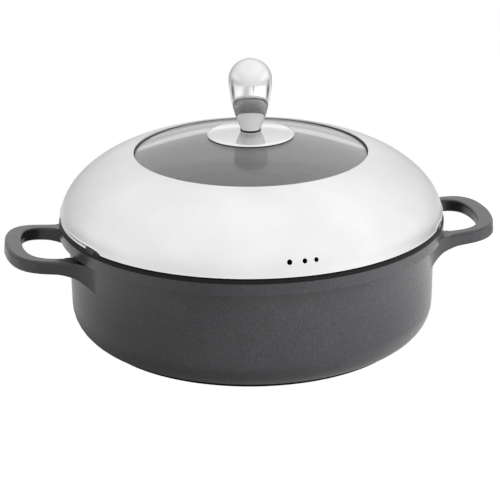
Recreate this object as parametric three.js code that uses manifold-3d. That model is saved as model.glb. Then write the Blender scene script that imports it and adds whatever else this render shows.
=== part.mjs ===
// Low casserole pot: a dark cast aluminium vessel with two loop handles, under a domed steel lid
// with a tinted glass window and a polished knob. Millimetres, +Z up, origin at the middle of the
// base, handles along X.
import * as THREE from 'three';
import { mergeVertices } from 'three/addons/utils/BufferGeometryUtils.js';
import Module from 'manifold-3d';

const wasm = await Module();
wasm.setup();

// Driving dimensions of the vessel
const rimRadius = 144;
const potHeight = 91;
const collarHeight = 12;
const collarOverhang = 7;
const collarUndercut = 2.5;
const collarEdgeRound = 0.6;
const rimOuterRound = 3.4;
const rimInnerRound = 1.2;
const wallThickness = 4.2;
const wallDraft = 1;
const floorThickness = 5;
const baseCornerRadius = 24.8;
const footRun = 7;
const footLift = 0.8;

// Driving dimensions of the loop handles: reaches are measured outwards from the rim, and the
// shares shape the curve from the shoulder round to the tip
const handleReach = 41.3;
const handleDrop = 14.3;
const handleTilt = THREE.MathUtils.degToRad(5.4);
const handleThickness = 9.8;
const handleEdgeRound = 2;
const loopShoulderReach = 6;
const loopHalfWidth = 42.7;
const loopCornerRun = 0.72;
const loopCornerSpread = 1.06;
const loopTipSpread = 0.75;
const tipBarWidth = 12.3;
const armWidth = 9.3;
const armFlare = 0.22;
const rootReach = 4;
const webStartReach = 7;
const webLength = 26;
const webDepth = 15.6;

// Driving dimensions of the lid's steel
const steelThickness = 0.8;
const lidInset = 1.1;
const lidSeatGap = 0.2;
const domeRise = 48.2;
const domeWallLift = 18.3;
const domeCrownRun = 32.5;
const domeCrownDrop = 7.5;
const windowRadius = 87.1;
const hemThickness = 1.2;
const hemHeight = 4;
const skirtDepth = 9;
const skirtClearance = 1.8;
const seatLipHeight = 2.2;
const notchHeight = 2.8;
const notchHalfAngle = THREE.MathUtils.degToRad(31.1);
const notchEndLength = 12.7;

// Driving dimensions of the rim lugs that fill the ends of the lid's notches
const lugLength = 16;
const lugWidth = 5;
const lugClearance = 0.5;

// Steam vents: height above the lid's edge, the length of the drill that passes the sloping sheet,
// then the angle from the front and the size of each hole
const ventHeight = 10.4;
const ventDrillLength = 16;
const vents = [
  { angle: THREE.MathUtils.degToRad(0.1), diameter: 3.7 },
  { angle: THREE.MathUtils.degToRad(4.5), diameter: 3.4 },
  { angle: THREE.MathUtils.degToRad(7.9), diameter: 3.2 },
];

// Driving dimensions of the window and of what holds it
const glassThickness = 4;
const glassRise = 15.6;
const glassOverlap = 6.6;
const gasketRecess = 0.3;
const gasketLip = 0.6;
const gasketWall = 1.6;
const gasketUnderReach = 5;
const retainerLegReach = 5;
const retainerFlange = 8;

// Driving dimensions of the knob's plate, the knob and its fastening
const plateRadius = 32.4;
const plateThickness = 1.2;
const plateDrop = 2.4;
const plateSealRadius = 13;
const plateSealThickness = 0.6;
const neckWasherRadius = 7.7;
const neckWasherThickness = 0.6;
const neckRadius = 7.3;
const neckHeight = 0.3;
const knobFlareRadius = 10.9;
const knobFlareHeight = 6.8;
const knobShoulderRadius = 15.3;
const knobShoulderDrop = 15;
const knobRadius = 16;
const knobBodyHeight = 36.6;
const knobCrownHeight = 16.3;
const screwRadius = 2.5;
const screwReach = 24;
const screwHeadRadius = 4.8;
const screwHeadHeight = 3;
const screwHeadRound = 1.2;
const recessLength = 5;
const recessWidth = 1.2;
const recessDepth = 1.6;
const grommetSleeve = 0.9;
const grommetFlangeRadius = 9;
const grommetFlangeThickness = 1.2;
const backingRadius = 11;
const backingThickness = 1.2;
const lockWasherRadius = 4.6;
const lockWasherThickness = 1.2;
const lockWasherSplit = 1;

// Clearances between pieces that are fitted together
const softFit = 0.2;
const steelFit = 0.3;
const stackGap = 0.05;

// Fineness of the round shapes
const largeSegments = 60;
const smallSegments = 36;
const holeSegments = 16;
const curveSteps = 8;
const arcSteps = 3;

// Places worked out from the dimensions above
const wallTopRadius = rimRadius - collarOverhang;
const wallFootRadius = wallTopRadius - wallDraft;
const mouthRadius = wallTopRadius - wallThickness;
const collarZ = potHeight - collarHeight;
const handleTopZ = potHeight - handleDrop;
const handleBottomZ = handleTopZ - handleThickness;
const handleTip = rimRadius + handleReach;
const loopShoulder = rimRadius + loopShoulderReach;
const loopRootX = mouthRadius - loopHalfWidth / 2;
const fullWidth = 2 * rimRadius;
const lidEdgeRadius = rimRadius - lidInset;
const lidEdgeZ = potHeight + lidSeatGap;
const windowZ = lidEdgeZ + domeRise;
const notchHalfWidth = lidEdgeRadius * Math.sin(notchHalfAngle);
const notchBend = notchHalfWidth - notchEndLength;
const lugOuterRadius = lidEdgeRadius + steelFit;
const lugInnerRadius = lugOuterRadius - lugWidth;
const lugOuterY = notchHalfWidth - lugClearance;
const lugInnerY = lugOuterY - lugLength;
const screwHole = screwRadius + steelFit;

const point = (x, y) => new THREE.Vector2(x, y);

// Boolean solids from three.js geometry, and back
function solidFrom(geometry) {
  geometry.deleteAttribute('normal');
  geometry.deleteAttribute('uv');
  const welded = mergeVertices(geometry);
  const corners = welded.index.array;
  const kept = [];
  for (let i = 0; i < corners.length; i += 3) {
    const [a, b, c] = corners.slice(i, i + 3);
    if (a !== b && b !== c && c !== a) kept.push(a, b, c);
  }
  return new wasm.Manifold(new wasm.Mesh({
    numProp: 3,
    vertProperties: new Float32Array(welded.attributes.position.array),
    triVerts: new Uint32Array(kept),
  }));
}

function geometryFrom(solid) {
  const mesh = solid.getMesh();
  const geometry = new THREE.BufferGeometry();
  geometry.setAttribute('position', new THREE.BufferAttribute(mesh.vertProperties, 3));
  geometry.setIndex(new THREE.BufferAttribute(mesh.triVerts, 1));
  geometry.computeVertexNormals();
  return geometry;
}

// A body turned about Z from an anticlockwise outline of (radius, height) points
function turned(outline, segments) {
  const geometry = new THREE.LatheGeometry([...outline, outline[0]], segments);
  geometry.rotateX(Math.PI / 2);
  return solidFrom(geometry);
}

function ring(innerRadius, outerRadius, lowZ, highZ, segments) {
  return turned([
    point(innerRadius, lowZ),
    point(outerRadius, lowZ),
    point(outerRadius, highZ),
    point(innerRadius, highZ),
  ], segments);
}

// A flat shape pushed straight along its own normal, then laid in the frame by three axes
function pushed(shape, depth, axes, start) {
  const geometry = new THREE.ExtrudeGeometry(shape, { depth, bevelEnabled: false });
  geometry.applyMatrix4(new THREE.Matrix4().makeBasis(...axes));
  geometry.translate(...start);
  return solidFrom(geometry);
}

const axisX = new THREE.Vector3(1, 0, 0);
const axisY = new THREE.Vector3(0, 1, 0);
const axisZ = new THREE.Vector3(0, 0, 1);

// A plan shape in (X, Y), raised between two heights
function raised(shape, lowZ, highZ) {
  return pushed(shape, highZ - lowZ, [axisX, axisY, axisZ], [0, 0, lowZ]);
}

// An end shape in (Y, Z), run along X for a width centred on the middle
function acrossX(shape, width) {
  return pushed(shape, width, [axisY, axisZ, axisX], [-width / 2, 0, 0]);
}

// A side shape in (X, Z), run along Y for a width centred on the middle
function acrossY(shape, width) {
  return pushed(shape, width, [axisX, axisZ, axisY.clone().negate()], [0, width / 2, 0]);
}

// The same solid on the other side, half a turn about Z
function opposite(solid) {
  return solidFrom(geometryFrom(solid).rotateZ(Math.PI));
}

function arc(centreX, centreY, radiusX, radiusY, startAngle, endAngle, steps) {
  const clockwise = endAngle < startAngle;
  const curve = new THREE.EllipseCurve(centreX, centreY, radiusX, radiusY, startAngle, endAngle, clockwise);
  return curve.getPoints(steps);
}

function bend(start, startControl, endControl, end, steps) {
  return new THREE.CubicBezierCurve(start, startControl, endControl, end).getPoints(steps);
}

// A profile moved to the left of its direction by a distance
function movedLeft(profile, distance) {
  return profile.map((place, i) => {
    const before = profile[Math.max(i - 1, 0)];
    const after = profile[Math.min(i + 1, profile.length - 1)];
    const along = after.clone().sub(before).normalize();
    return point(place.x - along.y * distance, place.y + along.x * distance);
  });
}

// The height of a profile at a radius, for a profile that runs inwards
function heightOn(profile, radius) {
  const next = Math.max(profile.findIndex((place) => place.x <= radius), 1);
  const [outer, inner] = [profile[next - 1], profile[next]];
  return THREE.MathUtils.mapLinear(radius, outer.x, inner.x, outer.y, inner.y);
}

// A shallow cap: its height at a radius, for a crown that drops by a depth at an edge radius
function capHeight(crownZ, edgeRadius, drop) {
  const sphereRadius = (edgeRadius ** 2 + drop ** 2) / (2 * drop);
  return (radius) => crownZ - sphereRadius + Math.sqrt(sphereRadius ** 2 - radius ** 2);
}

// Points along a cap between two radii
function capPoints(height, startRadius, endRadius, steps) {
  return Array.from({ length: steps + 1 }, (_, i) => {
    const radius = THREE.MathUtils.lerp(startRadius, endRadius, i / steps);
    return point(radius, height(radius));
  });
}

// The vessel: a floor on a low flat foot, drafted wall, and the thick collar round its rim. The
// foot runs out under the rounded corner of the base, which starts at the top of its side.
function vessel() {
  const innerCorner = baseCornerRadius - wallThickness;
  const innerFootRadius = wallFootRadius - wallThickness;
  const cornerCentreX = wallFootRadius - baseCornerRadius;
  const footAngle = Math.asin(footRun / baseCornerRadius);
  return turned([
    point(0, 0),
    point(cornerCentreX + footRun, 0),
    ...arc(cornerCentreX, footLift + baseCornerRadius, baseCornerRadius, baseCornerRadius,
      footAngle - Math.PI / 2, 0, 2 * arcSteps),
    point(wallTopRadius, collarZ - collarUndercut),
    point(rimRadius - collarEdgeRound, collarZ),
    point(rimRadius, collarZ + collarEdgeRound),
    ...arc(rimRadius - rimOuterRound, potHeight - rimOuterRound, rimOuterRound, rimOuterRound,
      0, Math.PI / 2, arcSteps),
    ...arc(mouthRadius + rimInnerRound, potHeight - rimInnerRound, rimInnerRound, rimInnerRound,
      Math.PI / 2, Math.PI, arcSteps),
    ...arc(innerFootRadius - innerCorner, floorThickness + innerCorner, innerCorner, innerCorner,
      0, -Math.PI / 2, 2 * arcSteps),
    point(0, floorThickness),
  ], largeSegments);
}

// One edge of a loop in plan, from its root on one side round the tip to its root on the other
function loopEdge(tip, halfWidth, flare) {
  const rootHalfWidth = halfWidth + flare * (loopShoulder - loopRootX);
  const cornerX = THREE.MathUtils.lerp(loopShoulder, tip, loopCornerRun);
  const half = bend(point(loopShoulder, halfWidth), point(cornerX, loopCornerSpread * halfWidth),
    point(tip, loopTipSpread * halfWidth), point(tip, 0), curveSteps);
  const side = [point(loopRootX, rootHalfWidth), ...half];
  const mirrored = side.slice(0, -1).map((place) => point(place.x, -place.y));
  return [...mirrored, ...side.reverse()];
}

// The loop in plan: a horseshoe whose arms widen both ways as they run in past the wall
function loopPlan() {
  const outer = loopEdge(handleTip, loopHalfWidth, armFlare);
  const inner = loopEdge(handleTip - tipBarWidth, loopHalfWidth - armWidth, -armFlare);
  return new THREE.Shape([...outer, ...inner.reverse()]);
}

// The loop itself, level and with rounded edges
function loopBar() {
  const geometry = new THREE.ExtrudeGeometry(loopPlan(), {
    depth: handleThickness - 2 * handleEdgeRound,
    bevelThickness: handleEdgeRound,
    bevelSize: handleEdgeRound,
    bevelOffset: -handleEdgeRound,
    bevelSegments: 2,
  });
  geometry.translate(0, 0, handleBottomZ + handleEdgeRound);
  return solidFrom(geometry);
}

// The stretch of each arm beside the collar, where its top keeps sharp edges
function rootSteps() {
  const middleZ = handleBottomZ + handleEdgeRound;
  const near = ring(0, rimRadius + rootReach, middleZ, handleTopZ, largeSegments);
  return raised(loopPlan(), middleZ, handleTopZ).intersect(near);
}

// The webs that flare from the arms down the wall
function webs() {
  const webStartX = rimRadius + webStartReach;
  const lowZ = handleBottomZ - webDepth;
  const middleZ = handleBottomZ + handleEdgeRound;
  const side = new THREE.Shape([
    point(0, lowZ),
    ...arc(webStartX, lowZ, webLength, webDepth, Math.PI, Math.PI / 2, curveSteps),
    point(webStartX, middleZ),
    point(0, middleZ),
  ]);
  return raised(loopPlan(), lowZ, middleZ).intersect(acrossY(side, fullWidth));
}

// A level handle tipped up about the line where its top meets the rim
function tippedUp(solid) {
  const geometry = geometryFrom(solid);
  geometry.translate(-rimRadius, 0, -handleTopZ);
  geometry.rotateY(-handleTilt);
  geometry.translate(rimRadius, 0, handleTopZ);
  return solidFrom(geometry);
}

// One handle, trimmed so that nothing stands inside the mouth
function handle() {
  const mouth = ring(0, mouthRadius, 0, potHeight, largeSegments);
  return tippedUp(loopBar().add(rootSteps()).add(webs())).subtract(mouth);
}

// The end shape of a rim lug, which follows the end of the notch above it
function lugShape() {
  const lugTop = notchHeight - lugClearance;
  return [
    point(lugInnerY, potHeight - rimOuterRound),
    point(lugOuterY, potHeight - rimOuterRound),
    ...arc(notchBend, lidEdgeZ, notchEndLength - lugClearance, lugTop, 0, Math.PI / 2, arcSteps),
    point(lugInnerY, lidEdgeZ + lugTop),
  ];
}

function lugs() {
  const right = lugShape();
  const left = right.map((place) => point(-place.x, place.y)).reverse();
  const band = ring(lugInnerRadius, lugOuterRadius, 0, lidEdgeZ + notchHeight, largeSegments);
  const bars = acrossX(new THREE.Shape(right), fullWidth).add(acrossX(new THREE.Shape(left), fullWidth));
  return bars.intersect(band);
}

function potBody() {
  const oneHandle = handle();
  return vessel().add(oneHandle).add(opposite(oneHandle)).add(lugs());
}

// The dome's outside from its edge up to the window, and its inside one sheet further in
const domeOutside = bend(
  point(lidEdgeRadius, lidEdgeZ),
  point(lidEdgeRadius, lidEdgeZ + domeWallLift),
  point(windowRadius + domeCrownRun, windowZ - domeCrownDrop),
  point(windowRadius, windowZ),
  curveSteps,
);
const domeInside = movedLeft(domeOutside, steelThickness);
const hemTopZ = lidEdgeZ + hemHeight;
const hemRadius = lidEdgeRadius - hemThickness;

// The cut that lifts the dome's edge over both handles
function notchCut() {
  const edge = arc(notchBend, lidEdgeZ, notchEndLength, notchHeight, 0, Math.PI / 2, 2 * arcSteps);
  const mirrored = edge.map((place) => point(-place.x, place.y)).reverse();
  const lowZ = lidEdgeZ - hemHeight;
  const shape = new THREE.Shape([
    point(-notchHalfWidth, lowZ),
    point(notchHalfWidth, lowZ),
    ...edge,
    ...mirrored,
  ]);
  return acrossX(shape, fullWidth);
}

function ventCut({ angle, diameter }) {
  const drill = new THREE.CylinderGeometry(diameter / 2, diameter / 2, ventDrillLength, holeSegments);
  drill.rotateZ(angle);
  drill.translate(lidEdgeRadius * Math.sin(angle), -lidEdgeRadius * Math.cos(angle), lidEdgeZ + ventHeight);
  return solidFrom(drill);
}

function lidDome() {
  const shell = turned([
    ...domeOutside,
    ...domeInside.filter((place) => place.y > hemTopZ).reverse(),
    point(hemRadius, hemTopZ),
    point(hemRadius, lidEdgeZ),
  ], largeSegments);
  return vents.reduce((solid, vent) => solid.subtract(ventCut(vent)), shell.subtract(notchCut()));
}

// The ring inside the lid's edge: a flange over the rim with a raised lip, and a skirt down inside
// the mouth
function lidSeatRing() {
  const skirtOuter = mouthRadius - skirtClearance;
  const skirtInner = skirtOuter - steelThickness;
  const flangeRadius = hemRadius - steelFit;
  const flangeTopZ = lidEdgeZ + steelThickness;
  const whole = turned([
    point(skirtInner, lidEdgeZ - skirtDepth),
    point(skirtOuter, lidEdgeZ - skirtDepth),
    point(skirtOuter, lidEdgeZ),
    point(flangeRadius, lidEdgeZ),
    point(flangeRadius, lidEdgeZ + seatLipHeight),
    point(flangeRadius - steelThickness, lidEdgeZ + seatLipHeight),
    point(flangeRadius - steelThickness, flangeTopZ),
    point(skirtInner, flangeTopZ),
  ], largeSegments);
  return whole.subtract(lugReliefs());
}

// Room in the flange for the rim's lugs
function lugReliefs() {
  const lowY = lugInnerY - lugClearance;
  const highY = lugOuterY + lugClearance;
  const lowZ = potHeight - rimOuterRound;
  const highZ = lidEdgeZ + notchHeight;
  const right = [point(lowY, lowZ), point(highY, lowZ), point(highY, highZ), point(lowY, highZ)];
  const left = right.map((place) => point(-place.x, place.y)).reverse();
  const bars = acrossX(new THREE.Shape(right), fullWidth).add(acrossX(new THREE.Shape(left), fullWidth));
  return bars.intersect(ring(lugInnerRadius - lugClearance, rimRadius, lowZ, highZ, largeSegments));
}

// The window: a domed glass under the dome's opening, with a hole for the screw
const glassRadius = windowRadius + glassOverlap;
const glassAtWindowZ = domeInside.at(-1).y - gasketLip - 2 * softFit;
const glassCrownZ = glassAtWindowZ + glassRise;
const glassTop = capHeight(glassCrownZ, windowRadius, glassRise);
const glassUnder = (radius) => glassTop(radius) - glassThickness;
const grommetRadius = screwHole + grommetSleeve;
const glassHole = grommetRadius + softFit;

function glassWindow() {
  return turned([
    ...capPoints(glassUnder, glassHole, glassRadius, curveSteps),
    ...capPoints(glassTop, glassRadius, glassHole, curveSteps),
  ], largeSegments);
}

// The soft channel round the glass edge, filled up to the dome's sheet
const underDome = (radius, gap) => heightOn(domeInside, radius) - gap;
const channelRadius = glassRadius + softFit;
const gasketRadius = channelRadius + gasketWall;
const gasketInnerRadius = windowRadius + gasketRecess;
const gasketUnderRadius = glassRadius - gasketUnderReach;
const gasketUnder = (radius) => glassUnder(radius) - softFit - gasketLip;

function glassGasket() {
  return turned([
    point(gasketUnderRadius, gasketUnder(gasketUnderRadius)),
    point(gasketRadius, gasketUnder(glassRadius)),
    point(gasketRadius, underDome(gasketRadius, softFit)),
    point(gasketInnerRadius, underDome(gasketInnerRadius, softFit)),
    point(gasketInnerRadius, glassTop(gasketInnerRadius) + softFit),
    point(channelRadius, glassTop(glassRadius) + softFit),
    point(channelRadius, glassUnder(glassRadius) - softFit),
    point(gasketUnderRadius, glassUnder(gasketUnderRadius) - softFit),
  ], largeSegments);
}

// The ring that traps the gasket: a leg under it, a riser round it and a flange under the dome
function glassRetainingRing() {
  const riserInner = gasketRadius + steelFit;
  const riserOuter = riserInner + steelThickness;
  const flangeRadius = riserOuter + retainerFlange;
  const legRadius = gasketRadius - retainerLegReach;
  const legTop = gasketUnder(glassRadius) - softFit;
  const legInnerTop = gasketUnder(legRadius) - softFit;
  return turned([
    point(legRadius, legInnerTop - steelThickness),
    point(riserOuter, legTop - steelThickness),
    point(riserOuter, underDome(riserOuter, steelFit) - steelThickness),
    point(flangeRadius, underDome(flangeRadius, steelFit) - steelThickness),
    point(flangeRadius, underDome(flangeRadius, steelFit)),
    point(riserInner, underDome(riserInner, steelFit)),
    point(riserInner, legTop),
    point(legRadius, legInnerTop),
  ], largeSegments);
}

// The stack under the knob, from the glass upwards
const plateUnderCrownZ = glassCrownZ + plateSealThickness + 2 * softFit;
const plateUnder = capHeight(plateUnderCrownZ, plateRadius, plateDrop);
const plateTop = (radius) => plateUnder(radius) + plateThickness;
const neckWasherZ = plateTop(screwHole) + stackGap;
const knobFootZ = neckWasherZ + neckWasherThickness + stackGap;

function plateSeal() {
  return turned([
    point(screwHole, glassTop(screwHole) + softFit),
    point(plateSealRadius, glassTop(plateSealRadius) + softFit),
    point(plateSealRadius, plateUnder(plateSealRadius) - softFit),
    point(screwHole, plateUnder(screwHole) - softFit),
  ], smallSegments);
}

function knobPlate() {
  return turned([
    ...capPoints(plateUnder, screwHole, plateRadius, 2 * arcSteps),
    ...capPoints(plateTop, plateRadius, screwHole, 2 * arcSteps),
  ], smallSegments);
}

function neckWasher() {
  return ring(screwHole, neckWasherRadius, neckWasherZ, neckWasherZ + neckWasherThickness, smallSegments);
}

// The knob: a short neck, a body that swells upwards and a round crown
function knob() {
  const neckTopZ = knobFootZ + neckHeight;
  const crownZ = neckTopZ + knobBodyHeight;
  const boreTopZ = knobFootZ + screwReach + 2 * screwRadius;
  const body = bend(
    point(neckRadius, neckTopZ),
    point(knobFlareRadius, neckTopZ + knobFlareHeight),
    point(knobShoulderRadius, crownZ - knobShoulderDrop),
    point(knobRadius, crownZ),
    curveSteps,
  );
  return turned([
    point(screwHole, knobFootZ),
    point(neckRadius, knobFootZ),
    ...body.slice(0, -1),
    ...arc(0, crownZ, knobRadius, knobCrownHeight, 0, Math.PI / 2, 2 * arcSteps),
    point(0, boreTopZ),
    point(screwHole, boreTopZ),
  ], smallSegments);
}

// The fastening under the glass, from the glass downwards
const grommetZ = glassUnder(grommetFlangeRadius) - softFit;
const backingZ = grommetZ - grommetFlangeThickness - stackGap;
const lockWasherZ = backingZ - backingThickness - stackGap;
const screwHeadZ = lockWasherZ - lockWasherThickness - stackGap;

function screwGrommet() {
  return turned([
    point(screwHole, grommetZ - grommetFlangeThickness),
    point(grommetFlangeRadius, grommetZ - grommetFlangeThickness),
    point(grommetFlangeRadius, grommetZ),
    point(grommetRadius, grommetZ),
    point(grommetRadius, glassTop(glassHole)),
    point(screwHole, glassTop(glassHole)),
  ], smallSegments);
}

function backingWasher() {
  return ring(screwHole, backingRadius, backingZ - backingThickness, backingZ, smallSegments);
}

// A split washer
function lockWasher() {
  const lowZ = lockWasherZ - lockWasherThickness;
  const whole = ring(screwHole, lockWasherRadius, lowZ, lockWasherZ, smallSegments);
  const split = new THREE.BoxGeometry(2 * lockWasherRadius, lockWasherSplit, 2 * lockWasherThickness);
  split.translate(lockWasherRadius, 0, lockWasherZ - lockWasherThickness / 2);
  return whole.subtract(solidFrom(split));
}

// The screw, with a crossed recess in its pan head
function knobScrew() {
  const headLowZ = screwHeadZ - screwHeadHeight;
  const whole = turned([
    point(0, headLowZ),
    ...arc(screwHeadRadius - screwHeadRound, headLowZ + screwHeadRound, screwHeadRound, screwHeadRound,
      -Math.PI / 2, 0, arcSteps),
    point(screwHeadRadius, screwHeadZ),
    point(screwRadius, screwHeadZ),
    point(screwRadius, knobFootZ + screwReach),
    point(0, knobFootZ + screwReach),
  ], smallSegments);
  const slots = [[recessLength, recessWidth], [recessWidth, recessLength]].map(([sizeX, sizeY]) => {
    const slot = new THREE.BoxGeometry(sizeX, sizeY, 2 * recessDepth);
    slot.translate(0, 0, headLowZ);
    return solidFrom(slot);
  });
  return whole.subtract(slots[0].add(slots[1]));
}

// Finishes
const castAluminium = { color: 0x3b3b3d, roughness: 0.5, metalness: 0.6 };
const satinSteel = { color: 0xdcdcdc, roughness: 0.3, metalness: 1 };
const polishedSteel = { color: 0xe4e4e2, roughness: 0.1, metalness: 1 };
const tintedGlass = { color: 0x6c6e70, roughness: 0.05, metalness: 0, transparent: true, opacity: 0.6 };
const darkSilicone = { color: 0x1b1b1c, roughness: 0.7, metalness: 0 };

// The assembly
const casserole = new THREE.Group();

function place(name, solid, finish) {
  const mesh = new THREE.Mesh(geometryFrom(solid), new THREE.MeshStandardMaterial(finish));
  mesh.name = name;
  casserole.add(mesh);
}

place('pot_body', potBody(), castAluminium);
place('lid_dome', lidDome(), satinSteel);
place('lid_seat_ring', lidSeatRing(), satinSteel);
place('glass_window', glassWindow(), tintedGlass);
place('glass_gasket', glassGasket(), darkSilicone);
place('glass_retaining_ring', glassRetainingRing(), satinSteel);
place('plate_seal', plateSeal(), darkSilicone);
place('knob_plate', knobPlate(), polishedSteel);
place('neck_washer', neckWasher(), darkSilicone);
place('knob', knob(), polishedSteel);
place('screw_grommet', screwGrommet(), darkSilicone);
place('backing_washer', backingWasher(), satinSteel);
place('lock_washer', lockWasher(), satinSteel);
place('knob_screw', knobScrew(), satinSteel);

export default casserole;
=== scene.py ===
# Casserole pot: the looks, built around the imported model. Shapes are worked out in millimetres in
# the model's own frame, and turned into metres when a piece is made.
import math

import bmesh
import bpy
from mathutils import Matrix, Vector


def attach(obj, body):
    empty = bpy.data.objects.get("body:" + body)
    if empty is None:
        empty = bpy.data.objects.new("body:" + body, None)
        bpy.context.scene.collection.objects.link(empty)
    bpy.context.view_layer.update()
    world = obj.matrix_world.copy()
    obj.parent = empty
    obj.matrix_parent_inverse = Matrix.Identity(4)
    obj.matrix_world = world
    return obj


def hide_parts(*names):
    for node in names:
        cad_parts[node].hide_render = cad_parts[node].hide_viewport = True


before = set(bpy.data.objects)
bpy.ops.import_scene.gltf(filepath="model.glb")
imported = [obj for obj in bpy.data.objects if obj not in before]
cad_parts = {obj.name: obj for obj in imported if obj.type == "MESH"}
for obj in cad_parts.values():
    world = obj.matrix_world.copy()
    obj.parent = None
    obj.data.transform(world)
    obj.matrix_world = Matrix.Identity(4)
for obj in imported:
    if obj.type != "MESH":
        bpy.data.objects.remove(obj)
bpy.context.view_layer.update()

MM = 0.001

# The vessel
RIM_RADIUS = 144.0
POT_HEIGHT = 91.0
COLLAR_HEIGHT = 12.0
COLLAR_OVERHANG = 7.0
COLLAR_UNDERCUT = 2.5
COLLAR_EDGE_ROUND = 0.7
COLLAR_INNER_ROUND = 1.6
RIM_OUTER_ROUND = 3.4
RIM_INNER_ROUND = 1.2
WALL_THICKNESS = 4.2
WALL_DRAFT = 1.0
FLOOR_THICKNESS = 5.0
BASE_CORNER = 24.8
FOOT_RUN = 7.0
FOOT_LIFT = 0.8
WALL_TOP_RADIUS = RIM_RADIUS - COLLAR_OVERHANG
WALL_FOOT_RADIUS = WALL_TOP_RADIUS - WALL_DRAFT
MOUTH_RADIUS = WALL_TOP_RADIUS - WALL_THICKNESS
COLLAR_Z = POT_HEIGHT - COLLAR_HEIGHT
COLLAR_FOOT_Z = COLLAR_Z - COLLAR_UNDERCUT
FOOT_RADIUS = WALL_FOOT_RADIUS - BASE_CORNER + FOOT_RUN
FOOT_HEIGHT = FOOT_LIFT + BASE_CORNER - math.sqrt(BASE_CORNER**2 - FOOT_RUN**2)

# The loop handles
HANDLE_REACH = 41.25
HANDLE_DROP = 14.3
HANDLE_TILT = math.radians(5.4)
HANDLE_THICKNESS = 9.8
HANDLE_EDGE_ROUND = 1.9
ROOT_EDGE_ROUND = 0.5
LOOP_SHOULDER_REACH = 6.0
LOOP_HALF_WIDTH = 42.7
LOOP_CORNER_RUN = 0.72
LOOP_CORNER_SPREAD = 1.06
LOOP_TIP_SPREAD = 0.75
TIP_BAR_WIDTH = 12.3
ARM_WIDTH = 9.3
ARM_FLARE = 0.22
ROOT_REACH = 4.0
ROOT_BLEND = 0.8
OUTER_FILLET = 10.0
INNER_FILLET = 3.0
WEB_START_REACH = 7.0
WEB_LENGTH = 24.5
WEB_DEPTH = 17.5
HANDLE_TOP_Z = POT_HEIGHT - HANDLE_DROP
HANDLE_TIP = RIM_RADIUS + HANDLE_REACH * math.cos(HANDLE_TILT)
LOOP_SHOULDER = RIM_RADIUS + LOOP_SHOULDER_REACH
ROOT_RADIUS = WALL_TOP_RADIUS - WALL_THICKNESS / 2
ROOT_WALL_RADIUS = WALL_TOP_RADIUS - WALL_DRAFT / 2

# Gaps between neighbours
SOFT_FIT = 0.2
STEEL_FIT = 0.3
STACK_GAP = 0.05

# The lid's steel
STEEL = 0.8
LID_INSET = 1.1
LID_SEAT_GAP = 0.2
DOME_RISE = 48.2
DOME_WALL_LIFT = 18.3
DOME_CROWN_RUN = 32.5
DOME_CROWN_DROP = 7.5
WINDOW_RADIUS = 87.1
HEM_THICKNESS = 1.2
HEM_HEIGHT = 4.0
HEM_FLARE = 0.45
HEM_FLARE_HEIGHT = 1.1
SKIRT_DEPTH = 9.0
SKIRT_CLEARANCE = 1.8
SEAT_LIP = 2.2
TAB_HEIGHT = 1.5
TAB_LEAN = 0.7
NOTCH_HEIGHT = 2.8
NOTCH_HALF_ANGLE = math.radians(31.1)
NOTCH_END = 12.7
VENT_HEIGHT = 10.4
VENT_DRILL = 16.0
VENTS = [(0.1, 3.7), (4.5, 3.4), (7.9, 3.2)]
LID_EDGE_RADIUS = RIM_RADIUS - LID_INSET
LID_EDGE_Z = POT_HEIGHT + LID_SEAT_GAP
WINDOW_Z = LID_EDGE_Z + DOME_RISE
HEM_RADIUS = LID_EDGE_RADIUS - HEM_THICKNESS
NOTCH_HALF_WIDTH = LID_EDGE_RADIUS * math.sin(NOTCH_HALF_ANGLE)
NOTCH_BEND = NOTCH_HALF_WIDTH - NOTCH_END

# The lugs on the rim. A lug's end keeps a share of its height, so that it doesn't run out to nothing.
LUG_LENGTH = 16.0
LUG_WIDTH = 5.0
LUG_CLEARANCE = 0.5
LUG_ROUND = 0.7
LUG_END_SHARE = 0.02
LUG_OUTER_RADIUS = LID_EDGE_RADIUS + STEEL_FIT
LUG_FOOT_Z = POT_HEIGHT - RIM_OUTER_ROUND

# The window and what holds it
GLASS_THICKNESS = 4.0
GLASS_RISE = 15.6
GLASS_OVERLAP = 6.6
GASKET_RECESS = 0.3
GASKET_LIP = 0.6
GASKET_WALL = 1.6
GASKET_UNDER_REACH = 5.0
RETAINER_LEG = 5.0
RETAINER_FLANGE = 8.0

# The knob, its plate and its fastening
PLATE_RADIUS = 32.4
PLATE_THICKNESS = 1.2
PLATE_DROP = 2.7
PLATE_EDGE_ROUND = 0.25
PLATE_EDGE_END = 60
PLATE_EASE = 2.5
PLATE_SEAL_RADIUS = 13.0
PLATE_SEAL_THICKNESS = 0.6
NECK_WASHER_RADIUS = 7.7
NECK_WASHER_THICKNESS = 0.6
NECK_RADIUS = 7.3
NECK_HEIGHT = 0.3
KNOB_FLARE_RADIUS = 10.9
KNOB_FLARE_HEIGHT = 6.8
KNOB_SHOULDER_RADIUS = 15.3
KNOB_SHOULDER_DROP = 15.0
KNOB_RADIUS = 16.0
KNOB_BODY_HEIGHT = 36.6
KNOB_CROWN_HEIGHT = 16.3
SCREW_RADIUS = 2.5
SCREW_REACH = 24.0
GROMMET_SLEEVE = 0.9
GROMMET_FLANGE_RADIUS = 9.0
GROMMET_FLANGE_THICKNESS = 1.2
BACKING_RADIUS = 11.0
BACKING_THICKNESS = 1.2
SCREW_HOLE = SCREW_RADIUS + STEEL_FIT

# Roundings of the lid's small edges and bends
SHEET_EDGE = 0.3
SHEET_CORNER = 0.2
SHEET_BEND = 0.5
SHEET_WIDE_BEND = 0.7
TAB_EDGE = 0.15
SOFT_EDGE = 0.2
SOFT_TONGUE = 0.25
SOFT_CORNER = 0.3
SOFT_HEEL = 0.4
NECK_WASHER_EDGE = 0.4
BACKING_EDGE = 0.25

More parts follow.
